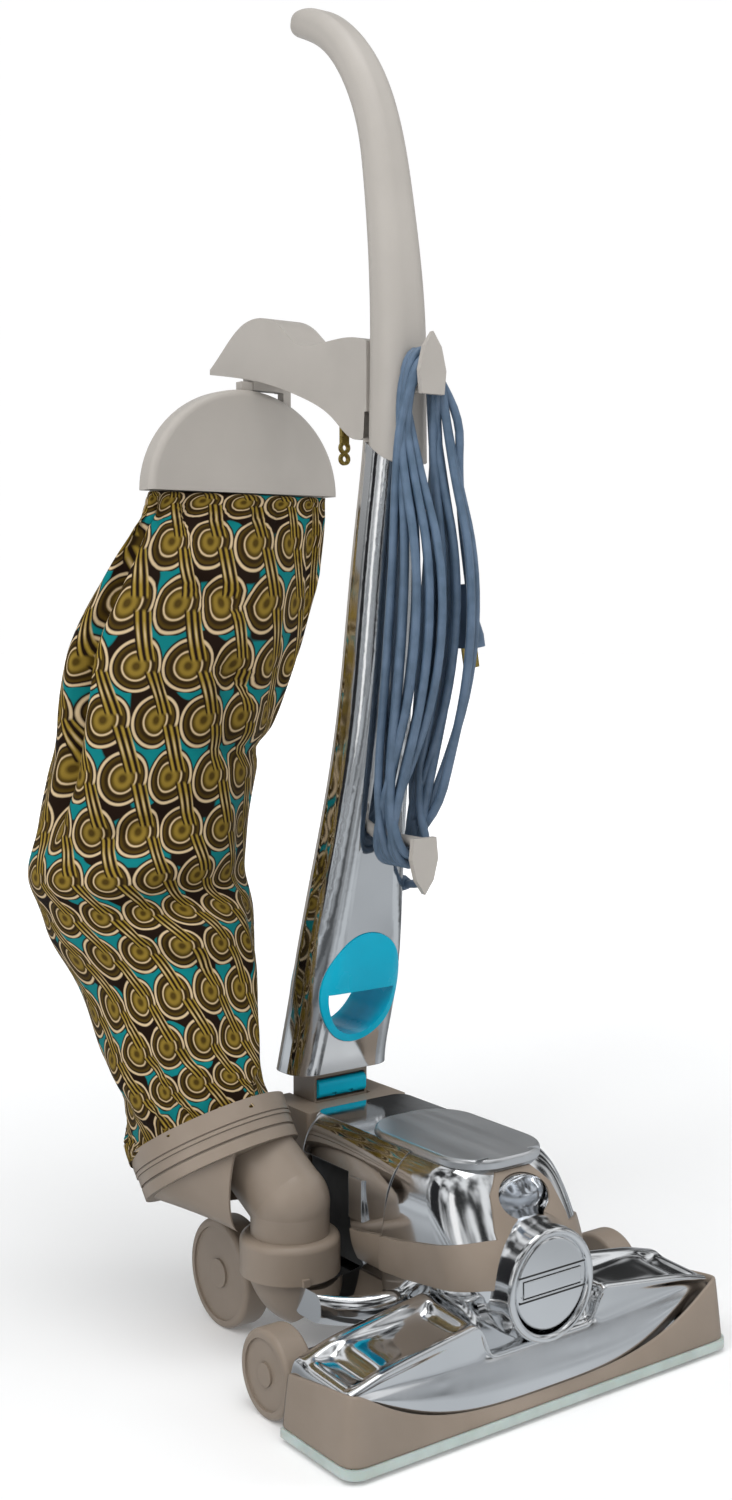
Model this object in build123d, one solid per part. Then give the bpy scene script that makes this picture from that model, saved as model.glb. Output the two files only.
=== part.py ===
from build123d import *
import math
import os

# Upright vacuum cleaner with an outside cloth bag, in millimetres.
# Machine frame: +X to the machine's left as seen from behind it, front is -Y, +Z up,
# Y = 0 at the face of the front bumper, Z = 0 on the floor. Export shifts the origin
# to the middle of the footprint.

# ---------------------------------------------------------------- driving dimensions
NOZZLE_W = 390.0          # width of the floor nozzle
NOZZLE_D = 88.0           # front to back
STRIP_Z = (4.0, 11.0)     # soft edge strip along the bottom of the bumper
MOTOR_Z = 106.0           # height of the motor shaft
SHAFT_R = 5.0
RUN_FIT = 0.05            # radial running clearance of every shaft
ROLL_Y, ROLL_Z = 48.0, 36.0
ROLL_R = 19.0
FRONT_WHEEL_Y, FRONT_WHEEL_R = 126.0, 34.0
REAR_WHEEL_Y, REAR_WHEEL_R = 294.0, 46.0
REAR_TRACK = 98.0         # inner face of a rear wheel from the middle
PIVOT_Y, PIVOT_Z = 302.0, 168.0
SEAM_TOP, SEAM_LOW = (119.0, 184.0), (151.0, 58.0)   # joint of fan case and motor housing
COLLAR_X, COLLAR_Y = -104.0, 212.0
RING_C = Vector(-136, 279, 161)
RING_N = Vector(-0.1, 0.52, 0.848).normalized()
RING_R, RING_T = 70.0, 19.0
HEIGHT_PIVOT = (136, 48)      # y, z of the height pedal's shaft
DRIVE_PIVOT = (339, 53)       # y, z of the drive pedal's shaft
BAR_PIVOT = (5.3, 95.9)       # y, z of the belt lifter bar's pin
CLIP_Y = 412.0            # bag hanger clip, seen along the arm
COVER_X = -26.0           # middle of the bag top cover
CORD_D = 7.5
WALL = 3.0

nodes = {}


# ---------------------------------------------------------------- helpers
def block(x0, x1, y0, y1, z0, z1):
    """A box between two corners."""
    at = Pos((x0 + x1) / 2, (y0 + y1) / 2, (z0 + z1) / 2)
    return at * Box(x1 - x0, y1 - y0, z1 - z0)


def rod_x(x0, x1, y, z, r):
    return Pos((x0 + x1) / 2, y, z) * Rot(0, 90, 0) * Cylinder(r, x1 - x0)


def rod_y(y0, y1, x, z, r):
    return Pos(x, (y0 + y1) / 2, z) * Rot(90, 0, 0) * Cylinder(r, y1 - y0)


def rod_z(z0, z1, x, y, r):
    return Pos(x, y, (z0 + z1) / 2) * Cylinder(r, z1 - z0)


def side_profile(points, x0, x1):
    """A closed outline of (y, z) points, carried across from x0 to x1."""
    face = make_face(Polyline(*[(x0, y, z) for y, z in points], close=True))
    return extrude(face, amount=x1 - x0, dir=(1, 0, 0))


def smooth_profile(top, low, x0, x1):
    """An outline of (y, z) points that runs smoothly along its top and its underside, from x0 to x1."""
    upper, lower = Spline(*[(x0, y, z) for y, z in top]), Spline(*[(x0, y, z) for y, z in low])
    face = make_face([upper, Line(upper @ 1, lower @ 0), lower, Line(lower @ 1, upper @ 0)])
    return extrude(face, amount=x1 - x0, dir=(1, 0, 0))


def front_profile(points, y0, y1):
    """A closed outline of (x, z) points, carried back from y0 to y1."""
    face = make_face(Polyline(*[(x, y0, z) for x, z in points], close=True))
    return extrude(face, amount=y1 - y0, dir=(0, 1, 0))


def level_loft(sections, ruled=False):
    """Loft of rounded rectangles (z, x0, x1, y0, y1, corner) at several heights."""
    faces = []
    for z, x0, x1, y0, y1, corner in sections:
        outline = RectangleRounded(x1 - x0, y1 - y0, corner)
        faces.append(Pos((x0 + x1) / 2, (y0 + y1) / 2, z) * outline)
    return loft(faces, ruled=ruled)


def tapered(z, a, front, rear, corner, grow=0.0):
    """One section of the fan case or motor housing, grown outwards by grow."""
    return (z, -a - grow, a + grow, front - grow, rear, corner + grow)


def soften(solid, edges, radius):
    """Fillet the edges, or leave them sharp where the radius doesn't fit."""
    try:
        return fillet(edges, radius)
    except (ValueError, RuntimeError):
        return solid


# ---------------------------------------------------------------- fan case and motor housing
def fan_case_form(grow=0.0):
    rear = 176.0
    rows = [(58, 50, 46, 30), (78, 60, 25, 36), (99, 64, 15, 40), (125, 66, 20, 44),
            (150, 65, 33, 44), (168, 60, 45, 40), (180, 50, 57, 34)]
    return level_loft([tapered(z, a, front, rear, corner, grow) for z, a, front, corner in rows])


def behind_seam(gap=0.0):
    """Everything behind the tilted joint between fan case and motor housing."""
    (y_top, z_top), (y_low, z_low) = SEAM_TOP, SEAM_LOW
    slope = (y_low - y_top) / (z_low - z_top)
    y_at = lambda z: y_top + slope * (z - z_top) + gap
    return side_profile([(y_at(20), 20), (y_at(230), 230), (420, 230), (420, 20)], -200, 200)


def motor_form(inset=0.0):
    rows = [(62, 46, 200), (84, 58, 222), (112, 64, 246), (140, 66, 257), (160, 64, 257), (172, 58, 257),
            (182, 48, 257)]
    return level_loft([(z, -a + inset, a - inset, 100, rear - inset, 12) for z, a, rear in rows])


def make_fan_case():
    case = fan_case_form() - behind_seam(-0.4)
    case -= rod_y(67, 200, 0, MOTOR_Z, 46)                    # fan chamber
    case -= block(-14, 14, 38, 70, 40, MOTOR_Z + 14)          # way for the belt
    case -= rod_y(-10, 40.2, 0, 98, 42.2)                     # room for the belt lifter's bezel
    case -= front_oval(0, 27.0, 17.0, 10, 78)                 # headlight pocket
    case -= block(-64, 64, -10, 112, 40, 70) + block(-64, 64, -10, 78, 40, 88)
    case -= lid_form(0.6)
    return case


def front_oval(x, half_x, half_z, y0, y1, z=158.0):
    oval = Plane(origin=(x, y1, z), x_dir=(1, 0, 0), z_dir=(0, -1, 0)) * Ellipse(half_x, half_z)
    return extrude(oval, amount=y1 - y0)


def make_motor_housing():
    housing = motor_form() & behind_seam(0.4)
    housing -= block(-90, 90, 182, 300, 40, 152)              # the rear case fills this
    housing -= rod_y(100, 200, 0, MOTOR_Z, 43)
    housing -= lid_form(0.6)
    for x0, x1 in ((-68.5, -58), (58, 68.5)):                 # raised side panels
        housing += block(x0, x1, 160, 178, 116, 150)
    return housing


def make_motor_case():
    case = level_loft([(66, -46, 46, 182.4, 250, 8), (110, -52, 52, 182.4, 257, 8),
                       (151.6, -54, 54, 182.4, 257, 8)])
    case -= rod_y(180, 222, 0, MOTOR_Z, 40)
    case -= rod_y(220, 232, 0, MOTOR_Z, 12)                   # rear bearing seat
    case -= rod_y(230, 246, 0, MOTOR_Z, 8)
    gusset = side_profile([(257, 66), (318, 66), (318, 92), (288, 139), (257, 144)], -40, 40)
    return case + gusset


def lid_form(grow=0.0):
    outline = RectangleRounded(96 + 2 * grow, 146 + 2 * grow, 38 + grow)
    return Pos(0, 121, 179.5 - grow) * extrude(outline, amount=7.5 + grow)


def make_top_lid():
    lid = lid_form()
    lid = soften(lid, lid.edges().group_by(Axis.Z)[-1], 3.0)
    for x in (-30, 30):
        lid -= block(x - 9, x + 9, 48 + 6, 48 + 9, 184, 190)
    return lid


def mask_region():
    """Where the front mask and its two side sweeps lie, seen from the side and the front."""
    sweep_side = [(-12, 102), (-12, 137), (30, 134), (70, 124), (112, 115), (168, 106), (168, 79),
                  (112, 84), (60, 92), (24, 99)]
    front = front_profile([(-37, 99), (-37, 140), (-31, 163), (-18, 176), (18, 176), (31, 163), (37, 140),
                           (37, 99)], -12, 84)
    return side_profile(sweep_side, -90, 90) + front


def make_headlight_mask():
    skin = (fan_case_form(2.0) - fan_case_form()) & mask_region()
    skin -= behind_seam(-0.6)
    skin -= front_oval(0, 25.4, 15.4, 0, 78)
    skin -= rod_y(-20, 60, 0, 98, 42.3)
    return skin


def make_side_bands():
    """Both side bands carry on from the mask along the motor housing."""
    sweep_side = [(100, 79), (100, 118), (168, 106), (181, 105), (181, 78), (160, 78)]
    skin = (motor_form(-2.0) - motor_form()) & side_profile(sweep_side, -90, 90)
    return skin & behind_seam(0.4)


def make_headlight():
    bowl = front_oval(0, 25.0, 15.0, 44, 66)
    scoop = Pos(0, 40, 158) * scale(Sphere(1), by=(23.5, 21, 13.5))
    reflector = (bowl - scoop) - front_oval(0, 3.2, 3.2, 50, 70)
    bulb = rod_y(50, 60, 0, 158, 3.0) + Pos(0, 50, 158) * Sphere(4.0)
    glass = front_oval(0, 25.0, 15.0, 41.5, 44)
    dome = Pos(0, 41.5, 158) * scale(Sphere(1), by=(25, 6, 15))
    lens = glass + (dome & block(-30, 30, 20, 41.5, 130, 180))
    return lens, reflector, bulb


# ---------------------------------------------------------------- floor nozzle
HOUSING_OUT = [(6, 12), (6, 48), (12, 60), (68, 84), (80, 80), (87, 40), (87, 12)]


def make_nozzle_housing(fan_case):
    half = NOZZLE_W / 2 - 3
    shell = side_profile(HOUSING_OUT, -half, half)
    neck = level_loft([(50, -62, 62, 12, 110, 16), (70, -60, 60, 12, 112, 16), (98, -56, 56, 22, 112, 20)])
    bezel = rod_y(2, 40, 0, 98, 42)
    shell += neck + bezel
    shell -= fan_case
    cavity = rod_x(-half + 8, half - 8, ROLL_Y, ROLL_Z, 32)
    cavity += block(-half + 8, half - 8, 12, ROLL_Y + 32, 0, ROLL_Z)
    belt_way = block(-16, 16, 14, 82, 30, 120)
    shell -= cavity + belt_way + rod_y(58, 140, 0, MOTOR_Z, 46)
    shell -= rod_y(-2, 14, 0, 100, 37)                        # seat of the belt lifter cap
    # a tray with raised rims on each shoulder
    for side in (-1, 1):
        x_in, x_out = 74 * side, (half - 7) * side
        tray = side_profile([(20, 59), (66, 78), (66, 100), (20, 100)], min(x_in, x_out), max(x_in, x_out))
        shell -= tray
    # end bores of the brush roll
    for side in (-1, 1):
        shell -= rod_x(min(side * 150, side * 189), max(side * 150, side * 189), ROLL_Y, ROLL_Z,
                       SHAFT_R + RUN_FIT)
    return shell


def make_nozzle_bumper():
    half = NOZZLE_W / 2
    outer = block(-half, half, 0, NOZZLE_D, STRIP_Z[1], 62)
    outer = soften(outer, outer.edges().filter_by(Axis.Z).sort_by(Axis.Y)[:2], 14)
    inner = block(-half + 3, half - 3, 6, NOZZLE_D + 5, 0, 100)
    bumper = outer - inner
    # the front wall is low in the middle and rises in an arc to both ends
    crown = Pos(0, 3, 322) * Rot(90, 0, 0) * Cylinder(292, 60)
    bumper -= crown & block(-half + 4, half - 4, -20, 12, 20, 100)
    # end walls slope down towards the rear
    bumper -= side_profile([(60, 63), (NOZZLE_D + 5, 44), (NOZZLE_D + 5, 80), (60, 80)], -200, 200)
    return bumper


def make_edge_strip():
    half = NOZZLE_W / 2 + 1
    ring = block(-half, half, -1.5, NOZZLE_D, *STRIP_Z)
    ring = soften(ring, ring.edges().filter_by(Axis.Z).sort_by(Axis.Y)[:2], 14)
    return ring - block(-half + 5, half - 5, 5, NOZZLE_D + 5, 0, 20)


def make_sole_plate():
    half = NOZZLE_W / 2 - 4.5
    plate = block(-half, half, 6.3, NOZZLE_D - 2, 8, 12)
    mouth = block(-half + 12, half - 12, 12, 80, 0, 20)
    plate -= mouth
    for x in (-110, -55, 55, 110):                            # guard bars over the mouth
        plate += block(x - 2, x + 2, 11, 82, 8, 10)
    return plate


def make_chassis():
    """The plate under the machine, cast in one with the case of the drive unit."""
    plate = block(-44, 44, 113, 262, 48, 56)
    plate += block(-36, 36, NOZZLE_D - 1, 118.5, 43, 49)
    plate += block(40, 60, 128, 145, 41, 56) - rod_x(44.9, 62, *HEIGHT_PIVOT, 5 + RUN_FIT)
    plate -= block(-21, 21, FRONT_WHEEL_Y - 7.5, FRONT_WHEEL_Y + 9, 30, 70)
    case = level_loft([(20, -50, 50, 240, 330, 14), (50, -54, 54, 232, 332, 16), (65.6, -50, 50, 240, 326, 14)])
    for x0, x1 in ((-31.4, -26.4), (26.4, 31.4)):             # lugs of the drive pedal
        case += block(x0, x1, 322, 344, 47.5, 58.5)
    case -= rod_x(-40, 40, *DRIVE_PIVOT, 3 + RUN_FIT)
    return plate + case - rod_x(-60, 60, REAR_WHEEL_Y, REAR_WHEEL_R, 7)


# ---------------------------------------------------------------- brush roll, belt, motor
def make_brush_roll():
    half = NOZZLE_W / 2
    roll = rod_x(-half + 24, half - 24, ROLL_Y, ROLL_Z, ROLL_R)
    for side in (-1, 1):
        x0, x1 = sorted((side * (half - 24), side * (half - 12.5)))
        roll += rod_x(x0, x1, ROLL_Y, ROLL_Z, 12)
        x0, x1 = sorted((side * (half - 13), side * (half - 7)))
        roll += rod_x(x0, x1, ROLL_Y, ROLL_Z, SHAFT_R)
    roll -= rod_x(-11, 11, ROLL_Y, ROLL_Z, 30) - rod_x(-11, 11, ROLL_Y, ROLL_Z, 16)
    return roll


def make_bristles():
    """Two rows of tufts that wind round the roll."""
    tufts = []
    for row in range(2):
        for index in range(-9, 10):
            if abs(index) < 2:
                continue
            x, turn = index * 16.5, index * 17 + row * 180
            tuft = Pos(0, 0, ROLL_R + 3.6) * Cylinder(2.2, 8.4)
            tufts.append(Pos(x, ROLL_Y, ROLL_Z) * Rot(turn, 0, 0) * tuft)
    return Compound(children=tufts)


def make_belt():
    """A flat belt from the shaft's end down to the roll, with a quarter turn on the way."""
    top = Pos(0, ROLL_Y, MOTOR_Z) * Rot(90, 0, 0) * (Cylinder(9.6, 10) - Cylinder(8.2, 10))
    top = top & block(-20, 20, 10, 90, MOTOR_Z, MOTOR_Z + 20)
    low = rod_x(-5, 5, ROLL_Y, ROLL_Z, 18.3) - rod_x(-5, 5, ROLL_Y, ROLL_Z, 16.8)
    low = low & block(-10, 10, 0, 100, 0, ROLL_Z)
    belt = top + low
    for side in (-1, 1):
        upper = Pos(side * 8.9, ROLL_Y, MOTOR_Z) * Rectangle(1.4, 10)
        lower = Pos(0, ROLL_Y + side * 17.55, ROLL_Z) * Rotation(0, 0, 90 * side) * Rectangle(1.5, 10)
        belt += loft([lower, upper], ruled=True)
    return belt


def make_rotor():
    shaft = rod_y(42, 244, 0, MOTOR_Z, SHAFT_R)
    nose = rod_y(42, 54, 0, MOTOR_Z, 7.6)
    core = rod_y(140, 176, 0, MOTOR_Z, 27)
    commutator = rod_y(186, 204, 0, MOTOR_Z, 14)
    return shaft + nose + core + commutator


def make_fan():
    disc = rod_y(90, 93, 0, MOTOR_Z, 42) + rod_y(72, 96, 0, MOTOR_Z, 11)
    for index in range(8):
        blade = Pos(25, 0, 0) * Rot(0, 0, 0) * Box(30, 16, 2.0)
        disc += Pos(0, 82, MOTOR_Z) * Rot(0, index * 45, 0) * blade
    return disc - rod_y(50, 100, 0, MOTOR_Z, SHAFT_R)


def make_stator():
    ring = rod_y(152, 178, 0, MOTOR_Z, 43) - rod_y(140, 190, 0, MOTOR_Z, 27.8)
    return ring


def make_bearings():
    rear = rod_y(222, 229.6, 0, MOTOR_Z, 12) - rod_y(210, 240, 0, MOTOR_Z, SHAFT_R + RUN_FIT)
    plate = rod_y(112, 119, 0, MOTOR_Z, 46) - rod_y(110, 140, 0, MOTOR_Z, SHAFT_R + RUN_FIT)
    plate -= block(-60, 60, 110, 140, MOTOR_Z + 30, 160) + block(-60, 60, 110, 140, 50, MOTOR_Z - 30)
    return Compound(children=[rear, plate])


# ---------------------------------------------------------------- dust path
def make_exhaust_neck():
    rows = [((COLLAR_X, COLLAR_Y, 71), 36, (0, 0, 1)), ((-100, 207, 56), 31, (-0.25, 0.3, 1)),
            ((-92, 198, 42), 22, (-0.5, 0.5, 1))]
    faces = [Plane(origin=at, z_dir=lean) * Circle(r) for at, r, lean in rows]
    return loft(faces)


def make_exhaust_duct():
    rows = [(-45, 114, 182, 57, 76, 8), (-84, 124, 186, 46, 69, 10), (-116, 150, 190, 46, 70, 10)]
    faces = []
    for x, y0, y1, z0, z1, corner in rows:
        at = Plane(origin=(x, (y0 + y1) / 2, (z0 + z1) / 2), x_dir=(0, 1, 0), z_dir=(-1, 0, 0))
        faces.append(at * RectangleRounded(y1 - y0, z1 - z0, corner))
    return loft(faces)


def make_exhaust_collar():
    collar = rod_z(71, 102, COLLAR_X, COLLAR_Y, 42)
    collar = soften(collar, collar.edges().group_by(Axis.Z)[-1], 6)
    collar += Pos(COLLAR_X - 12, COLLAR_Y - 40, 74) * Box(6, 6, 6)
    return collar - rod_z(60, 110, COLLAR_X, COLLAR_Y, 33)


def ring_plane(lift):
    return Plane(origin=RING_C + RING_N * lift, x_dir=(1, 0, 0), z_dir=RING_N)


def ring_disc(radius, low, high):
    return extrude(ring_plane(low) * Circle(radius), amount=high - low)


def make_emptor_elbow():
    knee = Vector(COLLAR_X, COLLAR_Y, 126)
    lean = Vector(-12, 44, 38).normalized()
    lower = rod_z(96, 126, COLLAR_X, COLLAR_Y, 33)
    upper = extrude(Plane(origin=knee, z_dir=lean) * Circle(33), amount=90)
    elbow = lower + Pos(knee) * Sphere(33.5) + upper
    elbow -= extrude(ring_plane(-RING_T) * Rectangle(400, 400), amount=300)
    bore = rod_z(90, 126, COLLAR_X, COLLAR_Y, 29) + Pos(knee) * Sphere(29.5)
    bore += extrude(Plane(origin=knee, z_dir=lean) * Circle(29), amount=95)
    return elbow - bore


def make_emptor_scoop():
    top = ring_plane(-RING_T)
    outer = loft([top * Circle(62), Pos(COLLAR_X - 4, COLLAR_Y + 4, 106) * Circle(38)])
    inner = loft([top * Circle(59.5), Pos(COLLAR_X - 4, COLLAR_Y + 4, 104) * Circle(35.5)])
    cut = Plane(origin=(-120, 236, 100), z_dir=(0.45, -0.89, 0)) * Rectangle(400, 400)
    scoop = (outer - inner) - extrude(cut, amount=200)
    scoop -= rod_z(60, 126, COLLAR_X, COLLAR_Y, 33.2) + Pos(COLLAR_X, COLLAR_Y, 126) * Sphere(33.7)
    return scoop & block(-300, 0, 100, 400, 102.4, 300)


def make_bag_rings():
    lower = ring_disc(RING_R - 1, -RING_T, 0) - ring_disc(58, -RING_T + 3, 1)
    lower -= ring_disc(RING_R + 5, -9.5, -7.5) - ring_disc(RING_R - 3, -12, -5)
    knee = Vector(COLLAR_X, COLLAR_Y, 126)
    lean = Vector(-12, 44, 38).normalized()
    lower -= extrude(Plane(origin=knee, z_dir=lean) * Circle(29), amount=95)
    upper = ring_disc(RING_R, 0.2, RING_T) - ring_disc(60, -1, RING_T + 1)
    upper -= ring_disc(RING_R + 5, 3, 4.2) - ring_disc(RING_R - 1.2, 2, 6)
    return lower, upper


BAG_SECTIONS = [  # centre x, y, z, half width, half depth, lean back
    (-152, 305, 236, 66, 66, 0.35), (-153, 322, 276, 73, 70, 0.3), (-152, 345, 318, 84, 76, 0.25),
    (-160, 361, 356, 97, 81, 0.15), (-168, 371, 392, 100, 83, 0.05), (-158, 380, 436, 98, 83, 0.0),
    (-141, 388, 488, 100, 81, -0.05), (-121, 395, 540, 110, 78, -0.05), (-100, 401, 590, 120, 70, -0.05),
    (-70, 407, 650, 116, 54, -0.05), (-42, 411, 704, 108, 28, 0.0), (COVER_X, CLIP_Y, 727, 98, 10.5, 0.0),
]


def make_cloth_bag():
    faces = [ring_plane(RING_T + 0.3) * Ellipse(62, 62)]
    for x, y, z, half_x, half_y, lean in BAG_SECTIONS:
        at = Plane(origin=(x, y, z), x_dir=(1, 0, 0), z_dir=(0, lean, 1))
        faces.append(at * Ellipse(half_x, half_y))
    return loft(faces)


# ---------------------------------------------------------------- handle
LOWER_SECTIONS = [  # z, middle y, half width, half depth
    (206, 300, 52, 26), (270, 283, 50, 27.5), (340, 268, 46, 28), (405, 256, 40, 27.5),
    (486, 241, 34, 26.5), (560, 231, 30.5, 25.5), (627, 224, 28.5, 24.5), (700, 215, 26.5, 23.5),
    (790, 205, 25, 22.5),
]


def lower_form(inset=0.0):
    rows = []
    for z, y, a, b in LOWER_SECTIONS:
        a, b = a - inset, b - inset
        rows.append((z, -a, a, y - b, y + b, 0.82 * b))
    return level_loft(rows)


def back_region(gap=0.0):
    """Behind the parting line of the lower handle."""
    line = [(y + 0.35 * b + gap, z) for z, y, a, b in LOWER_SECTIONS]
    line = [(line[0][0] + 2, 190)] + line + [(line[-1][0] - 2, 830)]
    return side_profile(line + [(420, 830), (420, 190)], -80, 80)


def above_joint():
    """Above the curved joint between the lower and the upper handle."""
    curve = Spline((0, 262, 772), (0, 226, 768), (0, 202, 755), (0, 182, 744), (0, 150, 741))
    lid = Polyline((0, 150, 741), (0, 150, 1300), (0, 262, 1300), (0, 262, 772))
    return extrude(make_face(curve + lid), amount=80, both=True)


def grip_region(grow=0.0, y0=200, y1=360):
    oval = Plane(origin=(0, y1, 284), x_dir=(1, 0, 0), z_dir=(0, -1, 0)) * Ellipse(42 + grow, 50 + grow)
    return extrude(oval, amount=y1 - y0)


def make_lower_handle():
    outer = lower_form() - above_joint()
    hollow = (lower_form(WALL) & block(-80, 80, 150, 400, 212, 736)) - grip_region(3.2)
    walls = outer - hollow - grip_region(0.2)
    walls -= block(-29.2, 29.2, 284.8, 318.2, 190, 225)       # socket of the fork foot
    return walls - back_region(-0.2), walls & back_region(0.2)


def make_carry_grip():
    disc = lower_form(-1.0) & grip_region()
    return disc - (grip_region(-6.5) & block(-60, 60, 150, 400, 200, 281))


UPPER_PATH = [  # y, z, half width, half depth
    (200, 736, 24.5, 21.5), (200, 800, 24, 21), (200, 852, 23.5, 20.5), (203.5, 908, 22.5, 19),
    (210, 958, 21, 18), (219.5, 1012, 19.5, 17), (236, 1064, 18.5, 16), (263, 1108, 18, 15.5),
    (300, 1142, 18, 15), (334, 1158, 17, 13.5), (347, 1161, 14, 10.5),
]


def make_upper_handle():
    faces = []
    for index, (y, z, a, b) in enumerate(UPPER_PATH):
        before = UPPER_PATH[max(index - 1, 0)]
        after = UPPER_PATH[min(index + 1, len(UPPER_PATH) - 1)]
        along = Vector(0, after[0] - before[0], after[1] - before[1])
        at = Plane(origin=(0, y, z), x_dir=(1, 0, 0), z_dir=along)
        faces.append(at * RectangleRounded(2 * a, 2 * b, 0.85 * b))
    handle = loft(faces)
    handle = soften(handle, handle.edges().sort_by(Axis.Y)[-8:], 7)
    handle = handle & above_joint_wide()
    handle -= switch_pocket()
    handle -= rod_y(150, 200, 0, 808, 5 + RUN_FIT)            # bore of the swivelling hook's post
    return handle


def above_joint_wide():
    return above_joint() + block(-80, 80, 262, 420, 900, 1300)


def switch_pocket():
    return Pos(0, 256, 1084.5) * Rot(40, 0, 0) * Box(16.4, 15, 27)


def make_power_switch():
    rocker = Pos(0, 256, 1084.5) * Rot(40, 0, 0) * Box(15.6, 7, 22)
    return soften(rocker, rocker.edges(), 1.5) + rod_x(-8.15, 8.15, 256, 1084.5, 1.8)


ARM_TOP = [(219, 851), (285, 857), (330, 863), (352, 879), (385, 892), (420, 889), (450, 872), (478, 853)]
ARM_LOW = [(478, 848), (440, 842), (380, 830), (315, 810), (268, 787), (240, 768), (219, 768)]


def make_hanger_arm(upper_handle):
    solid = smooth_profile(ARM_TOP, ARM_LOW, -20, 20)
    solid = soften(solid, solid.edges().filter_by(GeomType.BSPLINE), 2.5)
    inner = [(232, 847), (285, 853), (330, 858), (356, 876), (385, 887), (418, 884), (445, 868), (466, 852),
             (466, 830), (440, 830), (380, 815), (315, 795), (268, 770), (240, 750), (232, 750)]
    solid -= side_profile(inner, -16.5, 16.5)
    return solid - upper_handle - lower_form()


def make_latch_plate():
    plate = block(-34, 34, CLIP_Y - 11, CLIP_Y + 11, 834.5, 840)
    plate = plate & (block(-16.3, 16.3, 300, 500, 800, 900) + block(-40, 40, 300, 500, 800, 834.4))
    hook = block(-15, 15, CLIP_Y - 6, CLIP_Y + 6, 826.5, 834.6)
    return plate + hook + block(-3, 3, CLIP_Y - 3, CLIP_Y + 3, 840, 881)


def make_bag_clip():
    frame = block(-28, 28, CLIP_Y - 5, CLIP_Y + 5, 800, 834.3)
    frame -= block(-19.5, 19.5, CLIP_Y - 9, CLIP_Y + 9, 818, 826)
    frame -= block(-15.3, 15.3, CLIP_Y - 9, CLIP_Y + 9, 826, 840)
    return frame


def make_bag_cover():
    half, low, high = 105.0, 728.0, 826.0
    oval = Plane(origin=(COVER_X, CLIP_Y + 13, low), x_dir=(1, 0, 0), z_dir=(0, -1, 0))
    disc = extrude(oval * Ellipse(half, high - low), amount=26)
    disc = soften(disc, disc.edges().filter_by(GeomType.ELLIPSE), 7)
    disc = disc & block(-300, 300, 380, 440, low, 900)
    inner = extrude(Plane(origin=(COVER_X, CLIP_Y + 10.5, low), x_dir=(1, 0, 0), z_dir=(0, -1, 0))
                    * Ellipse(half - 3, high - low - 3), amount=21)
    disc -= inner & block(-300, 300, 380, 440, low - 1, 797)
    return disc - make_bag_clip()


def make_fork():
    foot = block(-29, 29, 285, 318, 158, 222)
    foot = soften(foot, foot.edges().filter_by(Axis.X).group_by(Axis.Z)[0], 7)
    foot -= rod_x(-60, 60, PIVOT_Y, PIVOT_Z, 6 + RUN_FIT)
    return foot - block(-26.4, 26.4, 278, 293, 180, 200)


def make_release_button():
    button = block(-26, 26, 281.5, 287.6, 182, 198)
    button = soften(button, button.edges().filter_by(Axis.X).group_by(Axis.Y)[0], 5)
    for x in (-9, 9):
        button -= block(x - 2.5, x + 2.5, 270, 284, 180, 186)
    return button


def make_tail_frame():
    frame = block(-54, 54, 257.4, 322, 146, 180)
    frame = soften(frame, frame.edges().filter_by(Axis.Z), 4)
    frame -= block(-30.5, 30.5, 280, 330, 140, 190)
    frame -= side_profile([(250, 140), (280, 140), (280, 146.4), (250, 146.4)], -30, 30)
    for side in (-1, 1):
        x0, x1 = sorted((side * 40.3, side * 54))
        frame += block(x0, x1, 257.4, 284, 112, 147)
    return frame - rod_x(-80, 80, PIVOT_Y, PIVOT_Z, 6)


def make_lower_hook():
    post = rod_y(166, 232, 0, 421, 5)
    tab = front_profile([(-12, 426), (12, 426), (14, 408), (9, 390), (0, 378), (-9, 390), (-14, 408)], 162, 167)
    return (post + tab) - lower_form()


def make_upper_hook():
    post = rod_y(156, 190, 0, 808, 5)
    tab = front_profile([(-12, 800), (12, 800), (14, 820), (9, 840), (0, 853), (-9, 840), (-14, 820)], 151, 156)
    return post + tab


def make_zipper_pull():
    body = block(-15, -7, 262, 266, 766, 782)
    for z in (762, 752):
        body += Pos(-11, 264, z) * Rot(90, 0, 0) * (Cylinder(5.6, 3) - Cylinder(2.6, 3))
    return body + block(-13, -9, 262.5, 265.5, 781, 792)


# ---------------------------------------------------------------- cord
GLAND_X, GLAND_Z = 46.5, 372.0
LEAD_PATH = [(GLAND_X, 247, GLAND_Z), (47, 222, 374), (38, 203, 388), (22, 198, 402), (13, 198, 416)]
HANK_SECTIONS = [  # z, front y, rear y, half width
    (411, 182, 212, 12), (421, 172, 219, 24), (450, 169, 216, 30), (490, 146, 205, 33), (540, 130, 194, 33),
    (600, 123, 186, 33), (680, 124, 178, 33), (735, 144, 175, 32), (768, 160, 175, 30), (800, 161, 174, 26),
    (822, 163, 173, 10),
]


def make_gland():
    body = rod_y(253, 268, GLAND_X, GLAND_Z, 7) + Pos(GLAND_X, 250, GLAND_Z) * Rot(90, 0, 0) * Cone(7, 5, 6)
    body -= lower_form()
    return body


def arc_radii(points):
    """Largest arc that fits each corner: 0.45 of the shorter run over tan(half turn)."""
    radii = []
    for before, at, after in zip(points, points[1:], points[2:]):
        into, out = Vector(*at) - Vector(*before), Vector(*after) - Vector(*at)
        turn = math.radians(into.get_angle(out))
        radii.append(0.45 * min(into.length, out.length) / math.tan(turn / 2))
    return radii


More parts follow.
